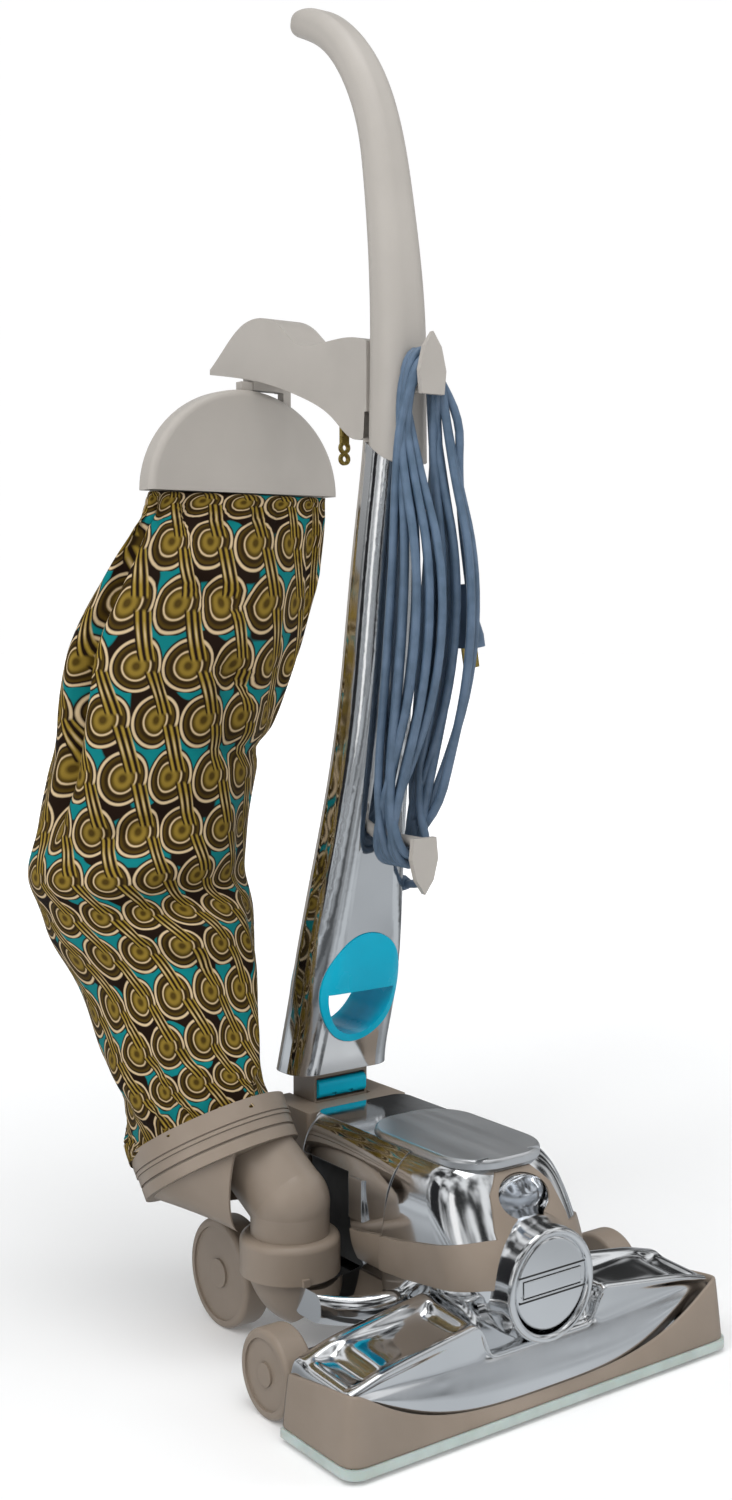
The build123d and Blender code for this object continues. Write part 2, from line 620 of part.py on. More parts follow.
def make_cord_lead():
    radii = arc_radii(LEAD_PATH)
    path = FilletPolyline(*LEAD_PATH, radius=radii)
    start = Plane(origin=LEAD_PATH[0], z_dir=Vector(*LEAD_PATH[1]) - Vector(*LEAD_PATH[0]))
    lead = sweep(start * Circle(CORD_D / 2), path=path)
    print("cord arc radii", [round(r, 1) for r in radii], "length", round(path.length, 1))
    print("cord volume over section x length", round(lead.volume / (path.length * math.pi * CORD_D ** 2 / 4), 4))
    return lead


def make_cord_hank():
    rows = [(z, -a, a, front, rear, min(a, (rear - front) / 2) * 0.8) for z, front, rear, a in HANK_SECTIONS]
    hank = level_loft(rows, ruled=True)
    hank -= rod_y(140, 230, 0, 421, 5.6)
    hank -= rod_y(120, 230, 0, 808, 5.6)
    return hank


PLUG_AT = Vector(31, 152, 640)


def make_plug():
    lean = Vector(0.16, 0, -1).normalized()
    tail = Plane(origin=PLUG_AT, z_dir=lean)
    relief = loft([tail * Circle(4.2), tail.offset(26) * Circle(7)])
    body = loft([tail.offset(26) * RectangleRounded(15, 21, 5), tail.offset(44) * RectangleRounded(20, 27, 6)])
    body += extrude(tail.offset(44) * RectangleRounded(20, 27, 6), amount=10)
    pins = []
    for y in (-6.35, 6.35):
        pin = Pos(0, y, 0) * Rectangle(6.3, 1.5)
        pins.append(extrude(tail.offset(54) * pin, amount=17))
    return (relief + body) - make_cord_hank(), Compound(children=pins)


# ---------------------------------------------------------------- wheels and pedals
def make_wheel(x0, x1, y, radius, bore, hub):
    """A wheel with a soft-edged tread, a recessed face and a hub."""
    wheel = rod_x(x0, x1, y, radius, radius)
    wheel = soften(wheel, wheel.edges(), 4)
    outer = x0 if abs(x0) > abs(x1) else x1
    side = -1 if outer < 0 else 1
    low, high = sorted((outer, outer - side * 2))
    wheel -= rod_x(low, high, y, radius, radius - 7) - rod_x(low, high, y, radius, hub)
    low, high = sorted((outer - side * 2.2, x0 - 1 if x0 != outer else x1 + 1))
    wheel -= rod_x(low, high, y, radius, bore + RUN_FIT)
    return wheel


def make_front_carriage():
    bar = block(-154, 154, FRONT_WHEEL_Y - 7, FRONT_WHEEL_Y + 8, 27, 40)
    guide = block(-20, 20, FRONT_WHEEL_Y - 6, FRONT_WHEEL_Y + 8, 40, 54)
    stubs = rod_x(-181, 181, FRONT_WHEEL_Y, FRONT_WHEEL_R, 5)
    return bar + guide + stubs


def make_rear_axle():
    return rod_x(-118, 118, REAR_WHEEL_Y, REAR_WHEEL_R, 6)


def make_height_pedal():
    arm = block(62, 84, 128, 150, 46, 50) + block(66, 80, 150, 186, 46, 50)
    return arm + rod_x(45, 92, *HEIGHT_PIVOT, 5)


def make_drive_pedal():
    pedal = block(-26, 26, 334.5, 366, 50, 56)
    pedal = soften(pedal, pedal.edges().filter_by(Axis.Z), 5)
    return pedal + rod_x(-31.4, 31.4, *DRIVE_PIVOT, 3)


def make_belt_lifter():
    cap = rod_y(4, 13.6, 0, 100, 36.5)
    cap = soften(cap, cap.edges().group_by(Axis.Y)[0], 4)
    cap -= block(-30, 30, 2, 9, 93, 107)
    bar = block(-29.4, 29.4, 3, 7.6, BAR_PIVOT[1], 106.4) + rod_x(-29.4, 29.4, *BAR_PIVOT, 2.3)
    pin = rod_x(-32, 32, *BAR_PIVOT, 1)
    return cap - rod_x(-32, 32, *BAR_PIVOT, 1 + RUN_FIT), bar + pin


# ---------------------------------------------------------------- assembly
def collect():
    shell, back = make_lower_handle()
    lens, reflector, bulb = make_headlight()
    ring_low, ring_top = make_bag_rings()
    plug, pins = make_plug()
    cap, bar = make_belt_lifter()
    fan_case, motor_housing = make_fan_case(), make_motor_housing()
    motor_case, upper_handle = make_motor_case(), make_upper_handle()
    nodes.update(
        nozzle_housing=make_nozzle_housing(fan_case), nozzle_bumper=make_nozzle_bumper(),
        bumper_edge_strip=make_edge_strip(), sole_plate=make_sole_plate(),
        chassis=make_chassis(),
        fan_case=fan_case, motor_housing=motor_housing, motor_case=motor_case,
        top_lid=make_top_lid(), headlight_mask=make_headlight_mask(), motor_side_bands=make_side_bands(),
        headlight_lens=lens, headlight_reflector=reflector, headlight_bulb=bulb,
        motor_stator=make_stator(), motor_bearings=make_bearings(), drive_belt=make_belt(),
        exhaust_duct=make_exhaust_duct(), exhaust_neck=make_exhaust_neck(),
        exhaust_collar=make_exhaust_collar(),
        emptor_elbow=make_emptor_elbow(), emptor_scoop=make_emptor_scoop(),
        bag_clamp_ring=ring_low, bag_ring=ring_top, cloth_bag=make_cloth_bag(),
        tail_frame=make_tail_frame() - motor_case, pivot_pin=rod_x(-54, 54, PIVOT_Y, PIVOT_Z, 6),
        rear_axle=make_rear_axle(),
        handle_fork=make_fork(), lower_handle_shell=shell, lower_handle_back=back,
        carry_grip=make_carry_grip(), upper_handle=upper_handle, bag_hanger_arm=make_hanger_arm(upper_handle),
        hanger_latch_plate=make_latch_plate(), bag_top_clip=make_bag_clip(), bag_top_cover=make_bag_cover(),
        zipper_pull=make_zipper_pull(), lower_cord_hook=make_lower_hook(), cord_gland=make_gland(),
        cord_lead=make_cord_lead(), cord_hank=make_cord_hank(), power_plug=plug, plug_pins=pins,
        upper_cord_hook=make_upper_hook(), power_switch=make_power_switch(),
        fork_release_button=make_release_button(),
        rear_wheel_left=make_wheel(-REAR_TRACK - 26, -REAR_TRACK, REAR_WHEEL_Y, REAR_WHEEL_R, 6, 12),
        rear_wheel_right=make_wheel(REAR_TRACK, REAR_TRACK + 26, REAR_WHEEL_Y, REAR_WHEEL_R, 6, 12),
        front_axle_carriage=make_front_carriage(),
        front_wheel_left=make_wheel(-186, -160, FRONT_WHEEL_Y, FRONT_WHEEL_R, 5, 9),
        front_wheel_right=make_wheel(160, 186, FRONT_WHEEL_Y, FRONT_WHEEL_R, 5, 9),
        height_pedal=make_height_pedal(), drive_pedal=make_drive_pedal(),
        belt_lifter_cap=cap, belt_lifter_bar=bar,
        brush_roll=make_brush_roll(), brush_bristles=make_bristles(),
        motor_rotor=make_rotor(), fan_impeller=make_fan(),
    )


CORD_NODES = ("cord_lead", "cord_hank", "power_plug", "plug_pins", "cord_gland")


def main():
    collect()
    boxes = [shape.bounding_box() for name, shape in nodes.items() if name not in CORD_NODES]
    middle_x = (min(b.min.X for b in boxes) + max(b.max.X for b in boxes)) / 2
    middle_y = (min(b.min.Y for b in boxes) + max(b.max.Y for b in boxes)) / 2
    low_z = min(b.min.Z for b in boxes)
    print("origin shift", round(middle_x, 4), round(middle_y, 4), round(low_z, 4), "nodes", len(nodes))
    for name, shape in nodes.items():
        export_step(Pos(-middle_x, -middle_y, -low_z) * shape, f"parts/{name}.step")


main()
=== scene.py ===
import math

import bmesh
import bpy
from mathutils import Matrix, Vector, noise


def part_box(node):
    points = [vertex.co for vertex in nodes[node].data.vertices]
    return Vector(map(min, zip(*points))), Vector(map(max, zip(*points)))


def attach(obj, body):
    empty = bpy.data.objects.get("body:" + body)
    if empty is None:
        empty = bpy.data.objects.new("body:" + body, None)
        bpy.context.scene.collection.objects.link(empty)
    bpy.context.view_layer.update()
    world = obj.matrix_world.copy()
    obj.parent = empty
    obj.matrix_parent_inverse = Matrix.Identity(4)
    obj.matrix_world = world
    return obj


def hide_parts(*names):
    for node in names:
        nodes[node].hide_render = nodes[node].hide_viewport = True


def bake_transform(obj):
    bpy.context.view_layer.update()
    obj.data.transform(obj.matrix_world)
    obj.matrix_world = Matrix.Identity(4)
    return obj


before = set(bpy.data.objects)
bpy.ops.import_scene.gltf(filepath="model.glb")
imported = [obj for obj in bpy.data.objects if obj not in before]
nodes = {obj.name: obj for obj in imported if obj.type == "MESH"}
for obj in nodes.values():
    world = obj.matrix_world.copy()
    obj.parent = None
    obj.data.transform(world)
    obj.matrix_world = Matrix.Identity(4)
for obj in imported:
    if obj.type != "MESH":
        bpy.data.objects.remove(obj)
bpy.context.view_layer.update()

# ------------------------------------------------------------------ camera
# The machine stands on its wheels on a level floor. The camera is level too, at the height of the
# lower handle, and looks at the machine from its front left.
bumper_low, bumper_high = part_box("nozzle_bumper")
nozzle_middle = (bumper_low[0] + bumper_high[0]) / 2
bumper_front = bumper_low[1]


def place(x, y, z):
    """A point from millimetres: x from the nozzle's middle, y from the bumper's front, z from the floor."""
    return Vector((nozzle_middle + x / 1000, bumper_front + y / 1000, z / 1000))


def show(name, data):
    piece = bpy.data.objects.new(name, data)
    bpy.context.scene.collection.objects.link(piece)
    return piece


camera_data = bpy.data.cameras.new("camera")
camera = show("camera", camera_data)
camera.location = place(-920.3, -1002.8, 627)
camera.rotation_euler = Vector((0.593, 0.805, 0)).to_track_quat("-Z", "Y").to_euler()
camera_data.lens, camera_data.sensor_width, camera_data.shift_y = 42.17, 36.0, -0.1
camera_data.clip_end = 60
bpy.context.scene.camera = camera
bpy.context.scene.view_settings.view_transform = "Standard"

# ------------------------------------------------------------------ studio
# A pale floor and a white wall all round, lit softly from above and from both sides. Three dark
# cards, a pale card and the banded air of the room give the polished metal its streaks.


def mesh_piece(name, shape, smooth=True):
    """Turns a finished bmesh into an object of that name."""
    data = bpy.data.meshes.new(name)
    shape.to_mesh(data)
    shape.free()
    for face in data.polygons:
        face.use_smooth = smooth
    return show(name, data)


def finish(name, colour, roughness, metallic=0.0, **sockets):
    """A new material, with every even value set on its shader."""
    material = bpy.data.materials.new(name)
    material.use_nodes = True
    shader = material.node_tree.nodes["Principled BSDF"]
    shader.inputs["Base Color"].default_value = (*colour, 1)
    shader.inputs["Roughness"].default_value = roughness
    shader.inputs["Metallic"].default_value = metallic
    for socket, value in sockets.items():
        shader.inputs[socket.replace("_", " ")].default_value = value
    return material


def node(material, kind, inputs=(), **settings):
    """Adds one node. An input is a number, a colour or another node's output."""
    tree = material.node_tree
    made = tree.nodes.new("ShaderNode" + kind)
    for key, value in settings.items():
        setattr(made, key, value)
    for key, value in dict(inputs).items():
        if isinstance(value, bpy.types.NodeSocket):
            tree.links.new(value, made.inputs[key])
        else:
            made.inputs[key].default_value = value
    return made


def into_shader(material, socket, output):
    shader = material.node_tree.nodes["Principled BSDF"]
    material.node_tree.links.new(output, shader.inputs[socket])


def noise_of(material, scale, detail=3.0, stretch=(1, 1, 1)):
    where = node(material, "TexCoord").outputs["Object"]
    turned = node(material, "Mapping", {"Vector": where, "Scale": stretch})
    return node(material, "TexNoise", {"Vector": turned.outputs["Vector"], "Scale": scale, "Detail": detail}
                ).outputs["Fac"]


def cloudy(material, low, high, scale, stretch=(1, 1, 1)):
    """Lets the colour drift between two shades over the piece."""
    ramp = node(material, "ValToRGB", {"Fac": noise_of(material, scale, 4.0, stretch)})
    ramp.color_ramp.elements[0].position, ramp.color_ramp.elements[1].position = 0.35, 0.65
    ramp.color_ramp.elements[0].color = (*low, 1)
    ramp.color_ramp.elements[1].color = (*high, 1)
    into_shader(material, "Base Color", ramp.outputs["Color"])


FLOOR_RADIUS, WALL_RADIUS = 18.8, 19
floor_shape = bmesh.new()
bmesh.ops.create_circle(floor_shape, cap_ends=True, segments=64, radius=FLOOR_RADIUS)
floor = mesh_piece("studio_floor", floor_shape)
floor_paint = finish("studio_floor_paint", (0.86, 0.86, 0.86), 0.6, Emission_Color=(1, 1, 1, 1))
cloudy(floor_paint, (0.85, 0.85, 0.85), (0.87, 0.87, 0.87), 0.8)
from_middle = node(floor_paint, "VectorMath", {0: node(floor_paint, "TexCoord").outputs["Object"]},
                   operation="LENGTH").outputs["Value"]
faded = node(floor_paint, "MapRange", {"Value": from_middle, "From Min": 0.5, "From Max": 3.0, "To Min": 0.12,
                                       "To Max": 0.52}).outputs["Result"]
into_shader(floor_paint, "Emission Strength", faded)
# mirrors see the floor as a darker, uneven ground, as they do in a room
ground_level = node(floor_paint, "MapRange", {"Value": noise_of(floor_paint, 1.6, 2.0, (1, 0.5, 1)),
                                              "From Min": 0.4, "From Max": 0.62, "To Min": 0.10,
                                              "To Max": 0.62}).outputs["Result"]
seen_in_metal = node(floor_paint, "Emission", {"Color": (0.9, 0.95, 1, 1), "Strength": ground_level})
floor_nodes = floor_paint.node_tree.nodes
either = node(floor_paint, "MixShader", {0: node(floor_paint, "LightPath").outputs["Is Glossy Ray"],
                                         1: floor_nodes["Principled BSDF"].outputs["BSDF"],
                                         2: seen_in_metal.outputs["Emission"]})
floor_paint.node_tree.links.new(either.outputs["Shader"], floor_nodes["Material Output"].inputs["Surface"])
floor.data.materials.append(floor_paint)

world = bpy.data.worlds.new("studio_air")
bpy.context.scene.world = world
world.use_nodes = True
air = world.node_tree.nodes["Background"]
air.inputs["Color"].default_value = (0.96, 0.98, 1, 1)
# the room round the machine: upright dark and pale bands that the polished metal picks up
bands = node(world, "Mapping", {"Vector": node(world, "TexCoord").outputs["Generated"],
                                "Scale": (2.6, 2.6, 0.5)})
room = node(world, "TexNoise", {"Vector": bands.outputs["Vector"], "Scale": 1.7, "Detail": 2.0})
room_level = node(world, "MapRange", {"Value": room.outputs["Fac"], "From Min": 0.42, "From Max": 0.60,
                                      "To Min": 0.03, "To Max": 0.86})
world.node_tree.links.new(room_level.outputs["Result"], air.inputs["Strength"])

wall_shape = bmesh.new()
bmesh.ops.create_uvsphere(wall_shape, u_segments=48, v_segments=24, radius=WALL_RADIUS)
studio_wall = mesh_piece("studio_wall", wall_shape)
wall_glow = finish("studio_wall_glow", (0, 0, 0), 1.0, Emission_Color=(1, 1, 1, 1), Emission_Strength=1.0)
studio_wall.data.materials.append(wall_glow)
studio_wall.visible_diffuse = studio_wall.visible_glossy = studio_wall.visible_transmission = False
studio_wall.visible_shadow = False


def soft_box(name, azimuth, elevation, distance, width, height, power):
    """An area light aimed at the middle of the machine; azimuth 0 is in front of it."""
    light = bpy.data.lights.new(name, "AREA")
    light.shape, light.size, light.size_y, light.energy = "RECTANGLE", width, height, power
    lamp = show(name, light)
    turn, rise = math.radians(azimuth), math.radians(elevation)
    back = Vector((math.sin(turn) * math.cos(rise), -math.cos(turn) * math.cos(rise), math.sin(rise)))
    lamp.location = Vector((0, 0, 0.5)) + back * distance
    lamp.rotation_euler = (-back).to_track_quat("-Z", "Y").to_euler()
    return lamp


soft_box("key_box", -72, 30, 2.6, 0.5, 2.0, 16).visible_glossy = False
soft_box("fill_box", 48, 20, 3.0, 0.6, 2.2, 12).visible_glossy = False
soft_box("top_box", 10, 85, 2.6, 1.2, 1.2, 9)
sun_light = bpy.data.lights.new("even_light", "SUN")
sun_light.energy, sun_light.angle = 1.5, math.radians(60)
even_light = show("even_light", sun_light)
even_light.visible_glossy = False
even_light.rotation_euler = (math.radians(18), math.radians(-22), 0)


def grained(material, scale, depth, strength=1.0, stretch=(1, 1, 1), edge=0.0007):
    """Fine surface grain, over edges that catch the light as a moulded or cast edge does."""
    soft_edge = node(material, "Bevel", {"Radius": edge}, samples=4)
    bump = node(material, "Bump", {"Height": noise_of(material, scale, 3.0, stretch), "Distance": depth,
                                   "Strength": strength, "Normal": soft_edge.outputs["Normal"]})
    into_shader(material, "Normal", bump.outputs["Normal"])


dark_paint = finish("dark_card_paint", (0.012, 0.012, 0.014), 0.9)
grained(dark_paint, 40, 0.0005)
pale_paint = finish("pale_card_paint", (0.1, 0.1, 0.1), 0.9, Emission_Color=(1, 1, 1, 1),
                    Emission_Strength=0.95)
grained(pale_paint, 40, 0.0005)
for name, azimuth, distance, width, height, lift, paint in (
        ("dark_card_left", -112, 2.4, 0.9, 2.2, 0.9, dark_paint),
        ("dark_card_right", 12, 2.6, 0.7, 2.2, 0.9, dark_paint),
        ("dark_card_near", -36, 3.4, 0.5, 1.8, 0.3, dark_paint),
        ("pale_card", -72, 2.5, 0.5, 2.2, 1.2, pale_paint)):
    card_shape = bmesh.new()
    bmesh.ops.create_grid(card_shape, x_segments=1, y_segments=1, size=0.5)
    bmesh.ops.scale(card_shape, vec=(width, height, 1), verts=card_shape.verts)
    turn = math.radians(azimuth)
    back = Vector((math.sin(turn), -math.cos(turn), 0))
    bmesh.ops.transform(card_shape, verts=card_shape.verts,
                        matrix=Matrix.Translation(back * distance + Vector((0, 0, lift)))
                        @ back.to_track_quat("Z", "Y").to_matrix().to_4x4())
    card = mesh_piece(name, card_shape)
    card.data.materials.append(paint)
    card.visible_camera = card.visible_shadow = card.visible_diffuse = False

# ------------------------------------------------------------------ power cord
# Grey-blue vinyl mains cord that leaves a gland on the side of the lower handle. It is wound round
# the two hooks on the handle's front, a loose hank whose strands bow out between the hooks, and the
# plug hangs at the hank's side.
CORD_THICK = 0.0075
TURNS = 11
lead_route = [(46.5, 247, 372), (47, 222, 374), (38, 203, 388), (22, 200, 402)]
# the hank's front and rear outline: how far back it lies at each height
hank_front = [(430, 170), (490, 148), (540, 134), (600, 127), (680, 128), (735, 146), (790, 160)]
hank_rear = [(430, 213), (490, 201), (540, 190), (600, 182), (680, 174), (735, 171), (790, 172)]
STRAND_LEVELS = (446, 496, 552, 612, 672, 728, 776)
LOW_HOOK, TOP_HOOK = (213, 421), (174.5, 808)
PLUG_ROOM = 17


def between(table, z):
    """The value at height z in a list of (height, value) pairs."""
    for (z_low, low), (z_high, high) in zip(table, table[1:]):
        if z <= z_high:
            share = max(0.0, (z - z_low) / (z_high - z_low))
            return low + (high - low) * share
    return table[-1][1]


def hook_rows(turn):
    """How far back this turn of the cord lies on the low hook and on the top hook."""
    return LOW_HOOK[0] - 7.3 * (turn % 6), TOP_HOOK[0] - 7.0 * (turn % 3)


def strand(turn, side):
    """One run of the cord between the hooks, which leaves the tidy rows at the hooks and bows out."""
    column = (turn * 5 + (3 if side > 0 else 0)) % TURNS
    row = (column * 3 + (4 if side > 0 else 0)) % TURNS
    low_y, top_y = hook_rows(turn)
    route = []
    for z in STRAND_LEVELS:
        share = (z - LOW_HOOK[1]) / (TOP_HOOK[1] - LOW_HOOK[1])
        bow = math.sin(math.pi * share) ** 0.6
        tidy_y = low_y + (top_y - low_y) * share
        front_y, rear_y = between(hank_front, z), between(hank_rear, z)
        loose_y = front_y + (rear_y - front_y) * row / (TURNS - 1)
        loose_x = 8 + 24 * column / (TURNS - 1)
        if side > 0 and loose_x > PLUG_ROOM and abs(row / (TURNS - 1) - 0.45) < 0.3:
            loose_x = PLUG_ROOM
        tidy_x = 15 + 5 * ((turn * 3) % 4) / 3
        sway = 1.6 * math.sin(turn * 2.1 + z / 55.0 + side)
        route.append(place(side * (tidy_x + (loose_x - tidy_x) * bow) + sway * bow,
                           tidy_y + (loose_y - tidy_y) * bow + sway * bow, z))
    return route


def bend_low(turn):
    """Three points round the low hook, from left to right."""
    y, drop, post = hook_rows(turn)[0], 9.5 + 6.5 * (turn // 6), LOW_HOOK[1]
    side_z = post - 1 - 0.6 * drop
    return [place(-15, y, side_z), place(0, y, post - 1.45 * drop), place(15, y, side_z)]


def bend_top(turn):
    """Three points round the top hook, from left to right."""
    y, rise, post = hook_rows(turn)[1], 9.5 + 6.0 * (turn // 3), TOP_HOOK[1]
    side_z = post - 2 + 0.6 * rise
    return [place(-15, y, side_z), place(0, y, post + 1.3 * rise), place(15, y, side_z)]


cord_route = [place(*point) for point in lead_route]
for turn in range(TURNS):
    cord_route += reversed(bend_low(turn)[:2] if turn == 0 else bend_low(turn))
    cord_route += strand(turn, -1)
    cord_route += bend_top(turn)
    if turn < TURNS - 1:
        cord_route += reversed(strand(turn, 1))
plug_low, plug_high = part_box("power_plug")
plug_top = Vector((plug_low[0] + 0.0085, (plug_low[1] + plug_high[1]) / 2, plug_high[2]))
cord_route += [plug_top + Vector((-0.006, 0.004, 0.14)), plug_top + Vector((-0.010, 0.002, 0.10)),
               plug_top + Vector((-0.009, 0.0, 0.06)), plug_top + Vector((-0.004, 0.0, 0.025)),
               plug_top + Vector((0.0008, 0, -0.005))]

cord_data = bpy.data.curves.new("power_cord", "CURVE")
cord_data.dimensions = "3D"
spline = cord_data.splines.new("NURBS")
spline.points.add(len(cord_route) - 1)
for point, spot in zip(spline.points, cord_route):
    point.co = (*spot, 1)
spline.order_u = 3
spline.use_endpoint_u = True
spline.resolution_u = 4
cord_data.bevel_depth = CORD_THICK / 2
cord_data.bevel_resolution = 3
cord_data.use_fill_caps = True
power_cord = show("power_cord", cord_data)


def uneven_gloss(material, low, high, scale, stretch=(1, 1, 1)):
    spread = node(material, "MapRange", {"Value": noise_of(material, scale, 4.0, stretch), "From Min": 0.35,
                                         "From Max": 0.65, "To Min": low, "To Max": high})
    into_shader(material, "Roughness", spread.outputs["Result"])


def dress(material, *names):
    for name in names:
        for held in nodes[name].material_slots:
            held.material = material


cord_vinyl = finish("cord_vinyl", (0.085, 0.135, 0.205), 0.42, Coat_Weight=0.15, Coat_Roughness=0.3)
cloudy(cord_vinyl, (0.07, 0.115, 0.175), (0.105, 0.16, 0.24), 60)
uneven_gloss(cord_vinyl, 0.34, 0.52, 90)
grained(cord_vinyl, 900, 0.00015, 0.5)
cord_data.materials.append(cord_vinyl)
dress(cord_vinyl, "cord_gland", "power_plug")
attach(power_cord, "handle")
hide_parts("cord_lead", "cord_hank")

# ------------------------------------------------------------------ brass pins and zipper pull
# The plug's flat pins and the bag's zipper pull are bare brass, gone a little dull.
# The pins are set in the plug, and the pull hangs by its ring below the hanger arm.
brass = finish("brass", (0.50, 0.38, 0.10), 0.28, 1.0)
cloudy(brass, (0.38, 0.27, 0.06), (0.58, 0.45, 0.14), 120)
uneven_gloss(brass, 0.2, 0.42, 200)
grained(brass, 500, 0.0001)
dress(brass, "plug_pins", "zipper_pull")

# ------------------------------------------------------------------ moulded plastics
# The dark taupe parts are satin mouldings, the handle and hanger parts a lighter warm grey with a
# fine spark-eroded grain, the carry grip and the release button glossy teal.
taupe = finish("taupe_plastic", (0.255, 0.205, 0.16), 0.36, Coat_Weight=0.12, Coat_Roughness=0.25)
cloudy(taupe, (0.235, 0.188, 0.146), (0.275, 0.222, 0.176), 14)
uneven_gloss(taupe, 0.30, 0.44, 30)
grained(taupe, 1400, 0.00008, 0.6)
dress(taupe, "headlight_mask", "motor_side_bands", "tail_frame", "exhaust_neck", "exhaust_collar",
      "emptor_elbow", "emptor_scoop", "bag_clamp_ring", "bag_ring", "handle_fork", "rear_wheel_left",
      "rear_wheel_right", "front_wheel_left", "front_wheel_right")

warm_grey = finish("warm_grey_plastic", (0.42, 0.39, 0.355), 0.46)
cloudy(warm_grey, (0.40, 0.372, 0.34), (0.44, 0.41, 0.375), 9)
uneven_gloss(warm_grey, 0.40, 0.54, 25)
grained(warm_grey, 1500, 0.0001, 0.8)
dress(warm_grey, "upper_handle", "bag_hanger_arm", "hanger_latch_plate", "bag_top_clip", "bag_top_cover",
      "lower_handle_back", "lower_cord_hook", "upper_cord_hook")

teal = finish("teal_plastic", (0.0, 0.42, 0.60), 0.25, Specular_IOR_Level=0.25)
cloudy(teal, (0.0, 0.39, 0.57), (0.0, 0.45, 0.64), 16)
uneven_gloss(teal, 0.17, 0.28, 30)
grained(teal, 900, 0.00005, 0.4)
dress(teal, "carry_grip", "fork_release_button")

black = finish("black_plastic", (0.018, 0.018, 0.018), 0.4)
cloudy(black, (0.012, 0.012, 0.012), (0.028, 0.027, 0.026), 30)
uneven_gloss(black, 0.32, 0.55, 50)
grained(black, 1200, 0.0001)
dress(black, "chassis", "motor_case", "sole_plate", "front_axle_carriage", "height_pedal", "drive_pedal",
      "power_switch", "fan_impeller", "drive_belt")

# ------------------------------------------------------------------ polished metal
# Nozzle, fan case, motor housing and lower handle are aluminium castings polished to a mirror.
# The hand polish leaves a slight waviness and very fine lines.
polished = finish("polished_aluminium", (0.80, 0.81, 0.82), 0.09, 1.0)
cloudy(polished, (0.74, 0.75, 0.76), (0.86, 0.865, 0.87), 5)
uneven_gloss(polished, 0.05, 0.13, 18, (1, 1, 0.2))
grained(polished, 22, 0.0006, 0.12, edge=0.0012)
dress(polished, "fan_case", "motor_housing", "exhaust_duct", "lower_handle_shell", "belt_lifter_cap",
      "belt_lifter_bar", "headlight_reflector")

satin = finish("satin_aluminium", (0.84, 0.845, 0.85), 0.34, 1.0)
cloudy(satin, (0.80, 0.81, 0.82), (0.88, 0.885, 0.89), 12)
uneven_gloss(satin, 0.29, 0.40, 60, (1, 0.1, 1))
grained(satin, 400, 0.00006, 0.5, (1, 0.05, 1))
dress(satin, "top_lid", "motor_stator", "motor_rotor", "motor_bearings", "pivot_pin", "rear_axle")

# ------------------------------------------------------------------ nozzle casting
# One aluminium casting: a crescent facet and a concave front wall, a sunk tray with raised rims on each
# shoulder, and a neck in the middle that carries the fan case and the belt lifter's round bezel.
CURVE_END = 181
NECK_HALF, FILLET = 52, 10
TRAY_FROM, TRAY_TO = 75, 176
BRISTLES_END, OVER_BRISTLES, OVER_ROLL = 157, 67.5, 58.5
DECK_END = 188
right_stations = [0, 24, 44, 52, 56, 60, 65, 70, 76, 110, 154, 160, 170, 175, 179, 183, 187.4, DECK_END]
stations = [-x for x in reversed(right_stations[1:])] + right_stations


def bumper_top(x):
    """The height of the bumper's upper edge, low in the middle and rising to the ends."""
    return 18 + 42 * (min(abs(x), CURVE_END) / CURVE_END) ** 3.2


def casting_rows(x):
    """The outline at this station: (y, z) from behind the bumper, over the deck and down the rear."""
    out = abs(x)
    shoulder = min(1.0, max(0.0, (out - NECK_HALF) / FILLET))
    top = 54 + (26 - 18 * max(0.0, (out - 60) / 132) - 5 * max(0.0, (out - 153) / 35)) * shoulder
    rim = top + 5 * shoulder
    lowest = OVER_BRISTLES if out < BRISTLES_END else OVER_ROLL
    floor_z = max(top - 13, lowest) if TRAY_FROM < out < TRAY_TO else top
    rise = max(0.0, (50.5 - bumper_top(x)) / 32.5)
    low_y, low_z = 15 - 8 * rise, 50.5 - 32.5 * rise
    tray = [(15.5, top), (19, top + 1), (21.5, top + 0.5 if floor_z == top else top - 1), (24, floor_z),
            (40, floor_z + 1), (67, floor_z + 2), (71, rim - 1), (75, rim), (81, rim), (86, rim - 3)]
    crown = (54, 54, 54, 56, 88, 94, 94, 94, 94, 90)
    rows = [(low_y + 2, low_z - 8), (low_y, low_z), ((low_y + 15) / 2, (low_z + 50.5) / 2), (15, 50.5),
            (15.5, 52), (17.5, 52 + 0.5 * (top - 52)), (14.5, top - 5), (13.5, top - 1.5)]
    rows += [(y, z * shoulder + high * (1 - shoulder)) for (y, z), high in zip(tray, crown)]
    rows += [(87.5, 44), (87.5, 13)]
    end = 12.0 if out == DECK_END else 0.0
    return [(y, z - end if z > 46 else z) for y, z in rows]


deck = bmesh.new()
deep = len(casting_rows(0)) - 1
bmesh.ops.create_grid(deck, x_segments=len(stations) - 1, y_segments=deep, size=0.5)
for vert in deck.verts:
    x = stations[round((vert.co.x + 0.5) * (len(stations) - 1))]
    y, z = casting_rows(x)[round((vert.co.y + 0.5) * deep)]
    vert.co = place(x, y, z)
bmesh.ops.recalc_face_normals(deck, faces=deck.faces)
nozzle_deck = mesh_piece("nozzle_deck", deck)
rounding = nozzle_deck.modifiers.new("casting_rounding", "SUBSURF")
rounding.levels = rounding.render_levels = 2
wall = nozzle_deck.modifiers.new("casting_wall", "SOLIDIFY")
wall.thickness, wall.offset = 0.0016, -1


